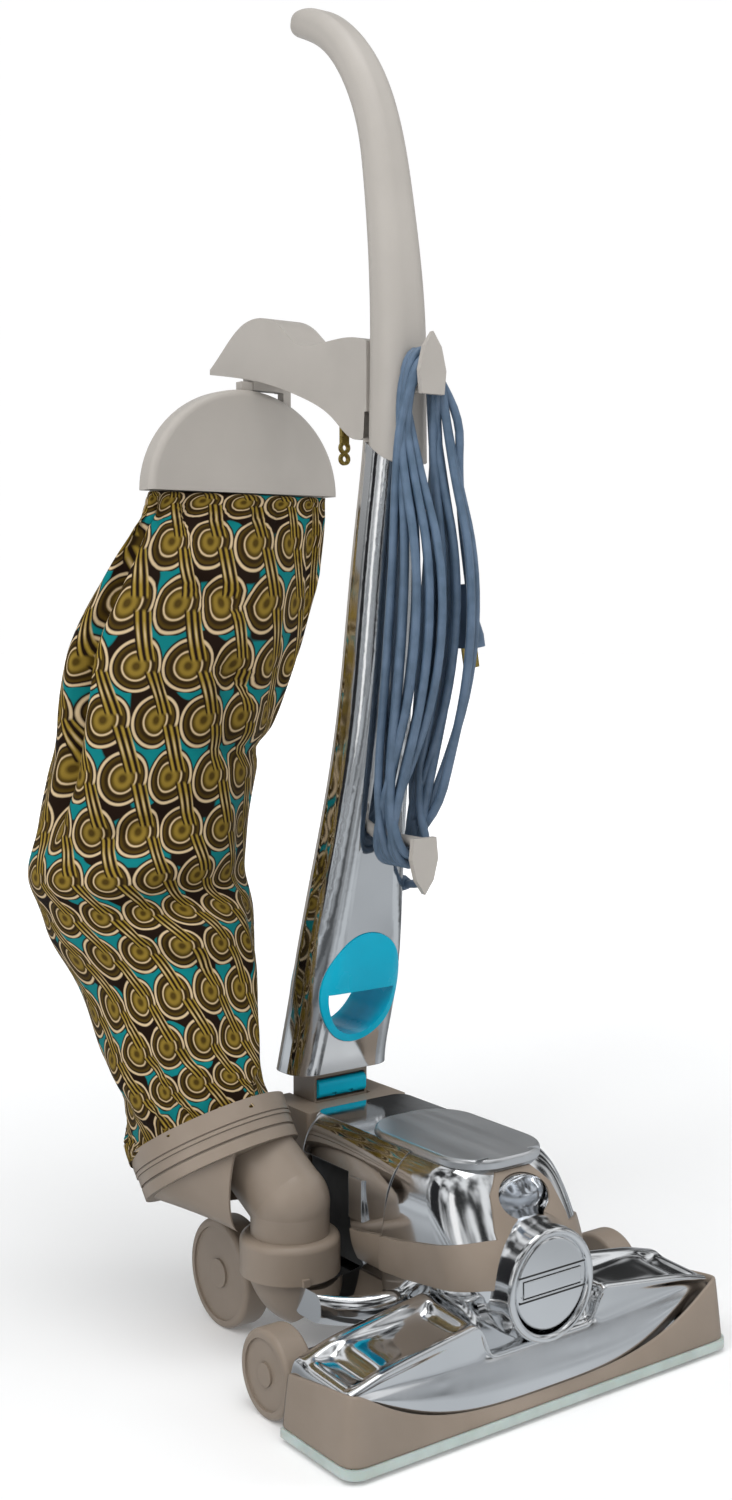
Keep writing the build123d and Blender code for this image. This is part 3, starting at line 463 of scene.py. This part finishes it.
def tube_rows(shape, segments, count):
    """Draws a round loop out count times into a tube, and gives the vertices row by row."""
    first = bmesh.ops.create_circle(shape, segments=segments, radius=1)["verts"]
    tube, loop_edges = [list(first)], list(shape.edges)
    for _ in range(count):
        grown = bmesh.ops.extrude_edge_only(shape, edges=loop_edges)["geom"]
        tube.append([part for part in grown if isinstance(part, bmesh.types.BMVert)])
        new_verts = set(tube[-1])
        loop_edges = [part for part in grown if isinstance(part, bmesh.types.BMEdge)
                      and all(vert in new_verts for vert in part.verts)]
    return tube


def squared(value):
    """Squares up a round outline."""
    return math.copysign(abs(value) ** 0.55, value)


NECK_REAR = 112
neck = bmesh.new()
neck_sections = [(70, 53, 34), (82, 53, 32), (90, 54, 29), (95, 56, 26), (98, 57, 24)]
neck_rows = tube_rows(neck, 72, len(neck_sections) - 1)
for row, (z, half, front) in zip(neck_rows, neck_sections):
    middle, deep_half = (front + NECK_REAR) / 2, (NECK_REAR - front) / 2
    for vert in row:
        turn = math.atan2(vert.co.y, vert.co.x)
        vert.co = place(half * squared(math.cos(turn)), middle + deep_half * squared(math.sin(turn)), z)
bmesh.ops.recalc_face_normals(neck, faces=neck.faces)
nozzle_neck = mesh_piece("nozzle_neck", neck)
wall = nozzle_neck.modifiers.new("casting_wall", "SOLIDIFY")
wall.thickness, wall.offset = 0.0024, -1

BEZEL_HEIGHT = 98
bezel = bmesh.new()
bezel_outline = [(37.4, 14), (37.4, 5.2), (38.2, 3.4), (40, 2.4), (42, 2.6), (43.4, 4.2), (44, 7), (44.6, 14),
                 (47, 24), (52, 34), (37.4, 34)]
outline = [bezel.verts.new(place(0, y, BEZEL_HEIGHT + radius)) for radius, y in bezel_outline]
outline_edges = [bezel.edges.new((a, b)) for a, b in zip(outline, outline[1:] + outline[:1])]
bmesh.ops.spin(bezel, geom=outline + outline_edges, cent=place(0, 0, BEZEL_HEIGHT), axis=(0, 1, 0),
               angle=2 * math.pi, steps=96, use_merge=True)
bmesh.ops.remove_doubles(bezel, verts=bezel.verts, dist=0.00001)
bmesh.ops.recalc_face_normals(bezel, faces=bezel.faces)
lifter_bezel = mesh_piece("lifter_bezel", bezel)

for piece in (nozzle_deck, nozzle_neck, lifter_bezel):
    piece.data.materials.append(polished)
    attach(piece, "base")
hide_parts("nozzle_housing")

# ------------------------------------------------------------------ belt lifter gaps, painted shade
# Two dark lines run across the polished lifter disc, above and below the bar that folds out of it.
# They are painted shade for the gaps beside the bar, thin black strips, and they turn with the disc.
DISC_HEIGHT, DISC_RADIUS = 100.5, 35.5
for number, height in enumerate((9.5, -9.5)):
    gap_shade = bmesh.new()
    bmesh.ops.create_cube(gap_shade, size=1)
    long = 2 * math.sqrt(DISC_RADIUS ** 2 - height ** 2)
    bmesh.ops.scale(gap_shade, vec=(long / 1000, 0.0006, 0.0011), verts=gap_shade.verts)
    bmesh.ops.translate(gap_shade, vec=place(0, 3.9, DISC_HEIGHT + height), verts=gap_shade.verts)
    # a thin black strip of painted shade in the gap beside the bar
    mark = mesh_piece(f"lifter_gap_shade_{number}", gap_shade, smooth=False)
    mark.data.materials.append(black)
    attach(mark, "belt_lifter")

# ------------------------------------------------------------------ front bumper
# A taupe moulding round the front and ends of the nozzle. Its face leans back, and its upper edge dips
# in a long curve in the middle, where the casting's pale crescent facet meets it.
BUMPER_HALF, CORNER = 195, 14
path = [(-BUMPER_HALF, y, 1, 0) for y in (88, 74, 52, 34, 20)]
for degrees in (12, 35, 55, 78):
    in_x, in_y = math.cos(math.radians(degrees)), math.sin(math.radians(degrees))
    path.append((CORNER - BUMPER_HALF - CORNER * in_x, CORNER - CORNER * in_y, in_x, in_y))
path += [(x, 0, 0, 1) for x in range(-176, 0, 16)]
path += [(-x, y, -in_x, in_y) for x, y, in_x, in_y in reversed(path)]


def bumper_rows(x, y):
    """The bumper's outline at this place on its path: (distance inwards, z) round its section."""
    face_top = bumper_top(x) - 0.14 * max(0.0, y - CORNER)
    return [(0, 11.2), (0, 13), (4.6, face_top - 1), (5.2, face_top), (6.6, face_top + 0.5),
            (8, face_top - 0.2), (8.2, face_top - 3), (7.2, 13.5), (5.6, 11.2)]


bumper = bmesh.new()
around = len(bumper_rows(0, 0)) - 1
bmesh.ops.create_grid(bumper, x_segments=len(path) - 1, y_segments=around, size=0.5)
for vert in bumper.verts:
    x, y, in_x, in_y = path[round((vert.co.x + 0.5) * (len(path) - 1))]
    inwards, z = bumper_rows(x, y)[round((vert.co.y + 0.5) * around)]
    vert.co = place(x + in_x * inwards, y + in_y * inwards, z)
bmesh.ops.recalc_face_normals(bumper, faces=bumper.faces)
front_bumper = mesh_piece("front_bumper", bumper)
wall = front_bumper.modifiers.new("bumper_wall", "SOLIDIFY")
wall.thickness, wall.offset = 0.001, -1
rounding = front_bumper.modifiers.new("bumper_rounding", "SUBSURF")
rounding.levels = rounding.render_levels = 1
front_bumper.data.materials.append(taupe)
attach(front_bumper, "base")
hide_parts("nozzle_bumper")

# ------------------------------------------------------------------ lens, edge strip and brush roll
# The headlight's lens and bulb are clear. A soft translucent vinyl strip is pushed on under the
# bumper, and the brush roll is a varnished wooden roll set with black nylon bristles.
clear = finish("clear_lens", (0.95, 0.97, 1.0), 0.04, Transmission_Weight=1.0, IOR=1.46)
grained(clear, 120, 0.0004, 0.3)
uneven_gloss(clear, 0.02, 0.08, 60)
dress(clear, "headlight_lens", "headlight_bulb")

strip_vinyl = finish("strip_vinyl", (0.66, 0.72, 0.68), 0.35, Transmission_Weight=0.3,
                     Subsurface_Weight=0.2)
cloudy(strip_vinyl, (0.60, 0.66, 0.62), (0.72, 0.78, 0.74), 40)
grained(strip_vinyl, 300, 0.0001)
dress(strip_vinyl, "bumper_edge_strip")

roll_wood = finish("roll_wood", (0.36, 0.20, 0.10), 0.4)
cloudy(roll_wood, (0.26, 0.14, 0.06), (0.44, 0.27, 0.14), 60, (0.08, 1, 1))
grained(roll_wood, 200, 0.0002, 0.6, (0.05, 1, 1))
dress(roll_wood, "brush_roll")
bristle = finish("bristle_nylon", (0.02, 0.02, 0.02), 0.5)
cloudy(bristle, (0.01, 0.01, 0.01), (0.05, 0.045, 0.04), 300)
dress(bristle, "brush_bristles")

# ------------------------------------------------------------------ cloth bag
# A printed cotton outer bag, sewn as a tube 0.60 m round and 0.60 m long. It is clamped in the ring
# at the bottom and gathered flat under the hanger cover at the top, and it bends over in a fold
# half way down, where the filled part slumps on the ring.
BAG_ROUND, BAG_LONG = 0.60, 0.60
PRINT_PITCH = 0.043
AROUND, ROWS = 144, 112
bag_sections = [  # centre x, y, z, half width, half depth, lean
    (-139, 281, 165, 67, 67, 0.6), (-144, 295, 198, 68, 68, 0.52), (-152, 305, 236, 68, 68, 0.35),
    (-153, 322, 276, 73, 70, 0.3), (-152, 345, 318, 84, 76, 0.25), (-160, 361, 356, 97, 81, 0.15),
    (-168, 371, 392, 100, 83, 0.05), (-158, 380, 436, 98, 83, 0), (-141, 388, 488, 100, 81, -0.05),
    (-121, 395, 540, 110, 78, -0.05), (-100, 401, 590, 120, 70, -0.05), (-70, 407, 650, 116, 54, -0.05),
    (-42, 411, 704, 108, 28, 0), (-26, 412, 727, 98, 10.5, 0),
]


def section_at(share):
    """The bag's centre, half sizes and lean at a share of the way up, smooth through the sections."""
    spot = share * (len(bag_sections) - 1)
    index = min(int(spot), len(bag_sections) - 2)
    t = spot - index
    a, b, c, d = (bag_sections[min(max(index + k, 0), len(bag_sections) - 1)] for k in (-1, 0, 1, 2))
    return [0.5 * (2 * q + (r - p) * t + (2 * p - 5 * q + 4 * r - s) * t * t
                   + (3 * q - p - 3 * r + s) * t ** 3) for p, q, r, s in zip(a, b, c, d)]


def hollow(angle, middle, width):
    """How much of a fold's depth is felt at this angle, in degrees."""
    apart = (angle - middle + 180) % 360 - 180
    return math.exp(-(apart / width) ** 2)


CROSS_FOLDS = [  # drawn in by, height, slope and the angle it starts from, thickness, middle, width
    (15, 372, 0.18, 230, 15, 268, 55), (-5, 400, 0.18, 230, 16, 240, 70), (12, 500, 0, 0, 11, 318, 40),
    (9, 640, -0.5, 260, 8, 262, 26), (9, 560, -0.6, 290, 8, 290, 26), (9, 440, 0.4, 250, 8, 240, 24),
    (8, 330, -0.5, 255, 8, 255, 28), (7, 255, 0.3, 240, 7, 238, 30), (6, 300, 0, 0, 30, 205, 20),
]


def share_between(z, low, high):
    return min(1.0, max(0.0, (z - low) / (high - low)))


def fold_depth(angle, z):
    """How far, in millimetres, the cloth is drawn in at this place."""
    upright = share_between(z, 415, 500) * (1 - share_between(z, 700, 727))
    depth = 40 * upright * hollow(angle, 194 + 0.05 * (z - 600), 9)
    depth -= 8 * upright * hollow(angle, 213, 13)
    for draw, height, slope, start, thick, middle, width in CROSS_FOLDS:
        off_line = (z - height - slope * (angle - start)) / thick
        depth += draw * math.exp(-off_line ** 2) * hollow(angle, middle, width)
    return depth


bag_shape = bmesh.new()
print_map = bag_shape.loops.layers.uv.new("print")
bag_rows = tube_rows(bag_shape, AROUND, ROWS)
for number, row in enumerate(bag_rows):
    x, y, z, half_x, half_y, lean = section_at(number / ROWS)
    side = Vector((1, 0, 0))
    back = Vector((0, lean, 1)).normalized().cross(side)
    for vert in row:
        angle = math.degrees(math.atan2(vert.co.y, vert.co.x)) % 360
        out = Vector((vert.co.x, vert.co.y, 0))
        level = side * out.x * half_x + back * out.y * half_y
        ripple = noise.noise(Vector((out.x * 2.2, out.y * 2.2, number * 0.09))) * 5
        ripple *= min(1.0, number / 12, (ROWS - number) / 10)
        shrink = (fold_depth(angle, z + level.z) + ripple) / max(level.length, 1)
        vert.co = place(*(Vector((x, y, z)) + level * (1 - min(0.6, shrink))))
bag_shape.verts.index_update()
row_of = {vert: number for number, row in enumerate(bag_rows) for vert in row}
turn_of = {vert: vert.index % AROUND for vert in bag_shape.verts}
REPEATS = round(BAG_ROUND / PRINT_PITCH)
for face in bag_shape.faces:
    turns = [turn_of[corner.vert] for corner in face.loops]
    wraps = max(turns) - min(turns) > AROUND / 2
    for corner in face.loops:
        turn = turn_of[corner.vert]
        if wraps and turn < AROUND / 2:
            turn += AROUND
        corner[print_map].uv = (turn / AROUND * REPEATS,
                                row_of[corner.vert] / ROWS * BAG_LONG / PRINT_PITCH)
bmesh.ops.recalc_face_normals(bag_shape, faces=bag_shape.faces)
cloth_bag = mesh_piece("printed_bag", bag_shape)

printed = finish("printed_cotton", (0.2, 0.13, 0.05), 0.6, Specular_IOR_Level=0.12)
cloth_place = node(printed, "UVMap", uv_map="print").outputs["UV"]


def maths(first, second, operation="ADD"):
    return node(printed, "Math", {0: first, 1: second}, operation=operation).outputs["Value"]


def ring_field(shift):
    """Distance and offsets from the nearest ring centre of a staggered print, in pitches."""
    where = node(printed, "SeparateXYZ", {"Vector": cloth_place})
    up = maths(where.outputs["Y"], shift)
    row = node(printed, "Math", {0: up}, operation="FLOOR").outputs["Value"]
    odd = maths(maths(row, 2.0, "FLOORED_MODULO"), 0.5, "MULTIPLY")
    across = maths(maths(where.outputs["X"], shift), odd)
    off_x = maths(node(printed, "Math", {0: across}, operation="FRACT").outputs["Value"], -0.5)
    off_y = maths(node(printed, "Math", {0: up}, operation="FRACT").outputs["Value"], -0.5)
    square = maths(maths(off_x, off_x, "MULTIPLY"), maths(off_y, off_y, "MULTIPLY"))
    return maths(square, 0.5, "POWER"), off_x, off_y


def band(value, low, high, soft=0.012):
    """One inside the band from low to high, nought outside it."""
    steps = [node(printed, "MapRange", {"Value": value, "From Min": edge - soft, "From Max": edge + soft})
             for edge in (low, high)]
    return maths(steps[0].outputs["Result"], steps[1].outputs["Result"], "SUBTRACT")


def over(below, colour, mask):
    """Prints a colour, or another node's colour, over what is below it where the mask is one."""
    mix = node(printed, "Mix", data_type="RGBA")
    tree = printed.node_tree
    tree.links.new(mask, mix.inputs[0])
    for socket, value in ((mix.inputs[6], below), (mix.inputs[7], colour)):
        if isinstance(value, bpy.types.NodeSocket):
            tree.links.new(value, socket)
        else:
            socket.default_value = (*value, 1)
    return mix.outputs[2]


CREAM, OLIVE, GOLD = (0.66, 0.50, 0.30), (0.075, 0.044, 0.004), (0.36, 0.24, 0.035)
BROWN, TEAL_INK = (0.012, 0.005, 0.002), (0.0, 0.20, 0.21)
far, _, _ = ring_field(0.0)
_, link_x, link_y = ring_field(0.5)
patches = node(printed, "TexNoise", {"Vector": cloth_place, "Scale": 1.1, "Detail": 0.0}).outputs["Fac"]
ink = over(BROWN, TEAL_INK, band(patches, 0.50, 2.0, 0.01))
ink = over(ink, BROWN, band(far, -1, 0.52))
ink = over(ink, CREAM, band(far, 0.435, 0.485))
ink = over(ink, OLIVE, band(far, -1, 0.40))
ink = over(ink, BROWN, band(far, 0.29, 0.34, 0.03))
ink = over(ink, CREAM, band(far, 0.245, 0.275))
ink = over(ink, GOLD, band(far, 0.10, 0.16, 0.05))
# the links that join each ring to the next row's, with lit ridges along them
lean_x = maths(link_x, maths(link_y, 0.45, "MULTIPLY"), "ADD")
ridges = node(printed, "Math", {0: maths(lean_x, 52.0, "MULTIPLY")}, operation="SINE").outputs["Value"]
lit = node(printed, "MapRange", {"Value": ridges, "From Min": -0.6, "From Max": 1.0}).outputs[0]
link_mask = maths(band(lean_x, -0.16, 0.16), band(link_y, -0.40, 0.40, 0.03), "MULTIPLY")
link_ink = over(BROWN, GOLD, lit)
shine = maths(band(link_y, -0.10, 0.14, 0.10), maths(lit, 3.0, "POWER"), "MULTIPLY")
link_ink = over(link_ink, CREAM, maths(shine, 0.8, "MULTIPLY"))
ink = over(ink, link_ink, link_mask)
wear = noise_of(printed, 25, 4.0)
ink = over(ink, BROWN, maths(wear, 0.22, "MULTIPLY"))
into_shader(printed, "Base Color", ink)
warp, weft = (node(printed, "TexWave", {"Vector": cloth_place, "Scale": 22.0, "Distortion": 0.4},
                   wave_type="BANDS", bands_direction=way).outputs["Fac"] for way in ("X", "Y"))
cloth_bump = node(printed, "Bump", {"Height": maths(warp, weft), "Distance": 0.0002, "Strength": 0.35})
into_shader(printed, "Normal", cloth_bump.outputs["Normal"])
cloth_bag.data.materials.append(printed)

# the cloth settles a little between the ring and the cover, which hold its end rows
SETTLING_STEPS, MOST_MOVED = 22, 0.014
pins = cloth_bag.vertex_groups.new(name="held")
held_rows = [vert.index for vert in cloth_bag.data.vertices
             if vert.index < 2 * AROUND or vert.index >= (ROWS - 1) * AROUND]
pins.add(held_rows, 1.0, "REPLACE")
before = [vert.co.copy() for vert in cloth_bag.data.vertices]
cloth = cloth_bag.modifiers.new("hang", "CLOTH")
cloth.settings.quality = 6
cloth.settings.mass = 0.18
cloth.settings.tension_stiffness = cloth.settings.compression_stiffness = 18
cloth.settings.shear_stiffness = 6
cloth.settings.bending_stiffness = 0.6
cloth.settings.vertex_group_mass = "held"
cloth.settings.shrink_min = -0.045
cloth.settings.use_pressure = True
cloth.settings.uniform_pressure_force = 0.7
cloth.settings.effector_weights.gravity = 0.4
cloth.collision_settings.use_collision = False
for step in range(1, SETTLING_STEPS + 1):
    bpy.context.scene.frame_set(step)
settled = cloth_bag.evaluated_get(bpy.context.evaluated_depsgraph_get()).to_mesh()
moved = [vert.co.copy() for vert in settled.vertices]
cloth_bag.modifiers.clear()
for vert, start, end in zip(cloth_bag.data.vertices, before, moved):
    shift = end - start
    vert.co = start + shift * min(1.0, MOST_MOVED / max(shift.length, 1e-9))
bpy.context.scene.frame_set(1)
wall = cloth_bag.modifiers.new("cloth_thickness", "SOLIDIFY")
wall.thickness, wall.offset = 0.0009, -1
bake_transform(cloth_bag)
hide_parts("cloth_bag")
